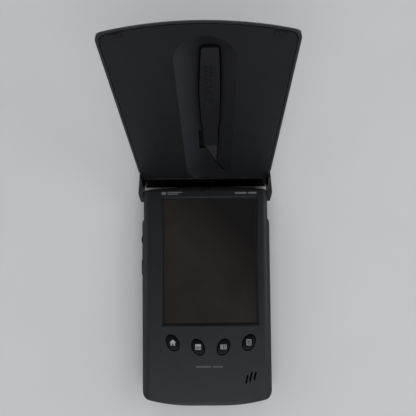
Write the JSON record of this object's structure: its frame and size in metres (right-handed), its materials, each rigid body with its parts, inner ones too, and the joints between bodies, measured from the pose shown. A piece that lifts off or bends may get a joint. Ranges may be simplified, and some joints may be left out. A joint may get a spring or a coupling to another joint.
{
  "type": "personal digital assistant",
  "caption": "Palm-size organiser with a touch display, oval face keys, a flip cover that carries a stylus, and jacks along its foot.",
  "frame": {"origin": "centre of the flat back of the case", "axes": "+X to the right across the face, +Y along the case towards the hinge, +Z out of the face; the cover stands open"},
  "size_m": [0.0826, 0.1833, 0.1226],
  "materials": {
    "case_front": "fine-textured satin moulding",
    "case_back": "fine-textured moulding",
    "black_gloss": "gloss moulding",
    "black_matte": "smooth moulding",
    "cover_grey": "satin silver-grey paint",
    "liner_black": "fine-textured satin moulding",
    "key_black": "gloss moulding",
    "stylus_dark": "satin moulding",
    "screen_glass": "dark glossy film on glass",
    "lcd_stack": "smooth film",
    "white_sheet": "matte film",
    "foam": "soft foam",
    "steel": "plain",
    "bronze": "plain",
    "gold_contact": "plated",
    "board_green": "solder mask",
    "chip_black": "moulded",
    "cell_wrap": "shrink sleeve",
    "flex_amber": "polyimide film",
    "membrane_grey": "silicone",
    "window_red": "dark red filter",
    "lamp_smoke": "smoked clear"
  },
  "bodies": {
    "case": {"front_case": "case_front", "rear_case": "case_back", "battery_pack": "cell_wrap", "battery_contacts": "gold_contact", "display_gasket": "foam", "touch_panel": "screen_glass", "lcd_panel": "lcd_stack", "backlight": "white_sheet", "display_frame": "steel", "display_flex": "flex_amber", "main_board": "board_green", "processor_chip": "chip_black", "memory_chips": "chip_black", "backup_cell": "steel", "reset_switch": "chip_black", "key_domes": "steel", "key_membrane": "membrane_grey", "side_switches": "steel", "card_slot": "steel", "card_blank": "black_matte", "dock_connector": "black_matte", "power_jack": "black_matte", "earphone_jack": "black_matte", "speaker": "black_matte", "microphone": "black_matte", "infrared_window": "window_red", "status_lamp": "lamp_smoke", "case_screws": "steel", "hinge_bush_left": "bronze", "hinge_bush_right": "bronze"},
    "cover": {"hinge_yoke": "black_gloss", "cover_shell": "cover_grey", "cover_liner": "liner_black", "cover_bumpers": "foam", "hinge_pin_left": "steel", "hinge_pin_right": "steel", "friction_washers": "steel"},
    "stylus": {"stylus_barrel": "stylus_dark", "stylus_grip": "stylus_dark", "stylus_tip": "black_matte"},
    "battery_door": {"battery_door": "case_back"},
    "key_home": {"key_home": "key_black"},
    "key_calendar": {"key_calendar": "key_black"},
    "key_contacts": {"key_contacts": "key_black"},
    "key_tasks": {"key_tasks": "key_black"},
    "power_key": {"power_key": "key_black"},
    "record_key": {"record_key": "key_black"},
    "jog_carrier": {"jog_carrier": "black_matte"},
    "jog_wheel": {"jog_wheel": "key_black"}
  },
  "joints": [
    {"name": "cover_hinge", "type": "hinge", "parent": "case", "child": "cover", "pos_m": [0, 0.0615, 0.0065], "axis": [-1, 0, 0], "range_deg": [-112, 48]},
    {"name": "stylus_lift", "type": "slide", "parent": "cover", "child": "stylus", "axis": [0, -0.9272, 0.3746], "range_m": [0, 0.012]},
    {"name": "battery_door_slide", "type": "slide", "parent": "case", "child": "battery_door", "axis": [0, -1, 0], "range_m": [0, 0.008]},
    {"name": "key_home_press", "type": "slide", "parent": "case", "child": "key_home", "axis": [0, 0, -1], "range_m": [0, 0.0006], "stiffness_N_per_m": 1000},
    {"name": "key_calendar_press", "type": "slide", "parent": "case", "child": "key_calendar", "axis": [0, 0, -1], "range_m": [0, 0.0006], "stiffness_N_per_m": 1000},
    {"name": "key_contacts_press", "type": "slide", "parent": "case", "child": "key_contacts", "axis": [0, 0, -1], "range_m": [0, 0.0006], "stiffness_N_per_m": 1000},
    {"name": "key_tasks_press", "type": "slide", "parent": "case", "child": "key_tasks", "axis": [0, 0, -1], "range_m": [0, 0.0006], "stiffness_N_per_m": 1000},
    {"name": "power_press", "type": "slide", "parent": "case", "child": "power_key", "axis": [0, -1, 0], "range_m": [0, 0.00035], "stiffness_N_per_m": 1500},
    {"name": "record_press", "type": "slide", "parent": "case", "child": "record_key", "axis": [1, 0, 0], "range_m": [0, 0.0004], "stiffness_N_per_m": 1500},
    {"name": "jog_press", "type": "slide", "parent": "case", "child": "jog_carrier", "axis": [1, 0, 0], "range_m": [0, 0.0005], "stiffness_N_per_m": 1200},
    {"name": "jog_turn", "type": "hinge", "parent": "jog_carrier", "child": "jog_wheel", "pos_m": [-0.0348, 0.034, 0.0087], "axis": [0, 0, 1], "range_deg": [-15, 15], "stiffness_Nm_per_rad": 0.02}
  ]
}
